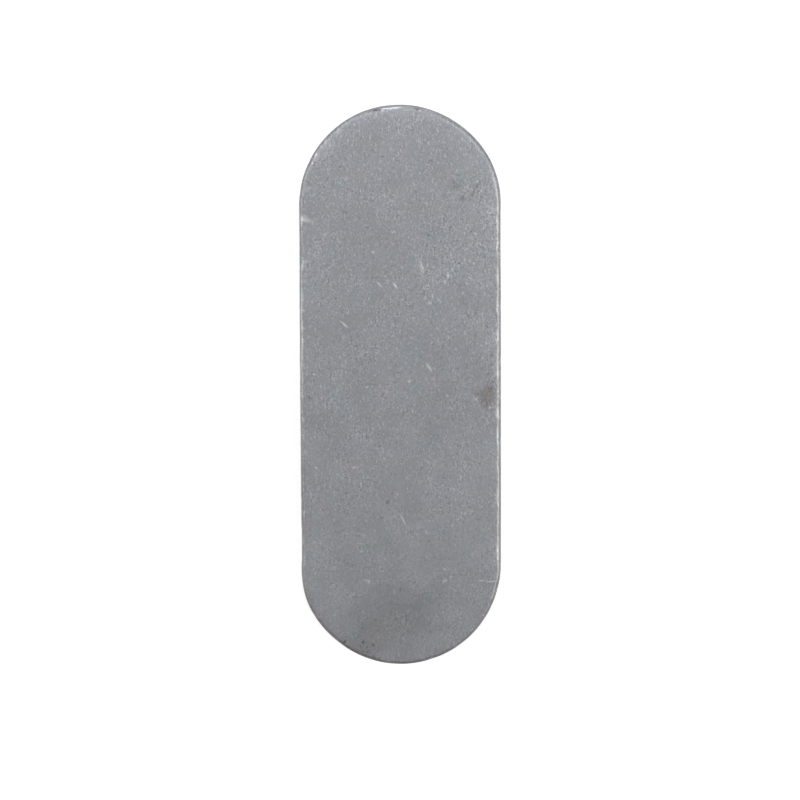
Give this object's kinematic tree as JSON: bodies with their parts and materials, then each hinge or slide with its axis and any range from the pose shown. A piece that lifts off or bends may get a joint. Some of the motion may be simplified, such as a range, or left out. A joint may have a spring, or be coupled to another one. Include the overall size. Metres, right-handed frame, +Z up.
{
  "type": "parallel key",
  "caption": "Parallel key with two fully rounded ends: a flat steel bar that carries torque between a shaft's keyseat and a hub.",
  "frame": {"origin": "centre of the bottom face, midway between the flanks and between the rounded ends", "axes": "+Y along the key's length, +X across its width from flank to flank, +Z up through its height, from the bottom face to the top face"},
  "size_m": [0.02, 0.056, 0.012],
  "materials": {
    "steel": "bright steel, tumbled to a dull grey satin with fine scratches and small nicks"
  },
  "bodies": {
    "root": {"parallel_key": "steel"}
  },
  "joints": []
}
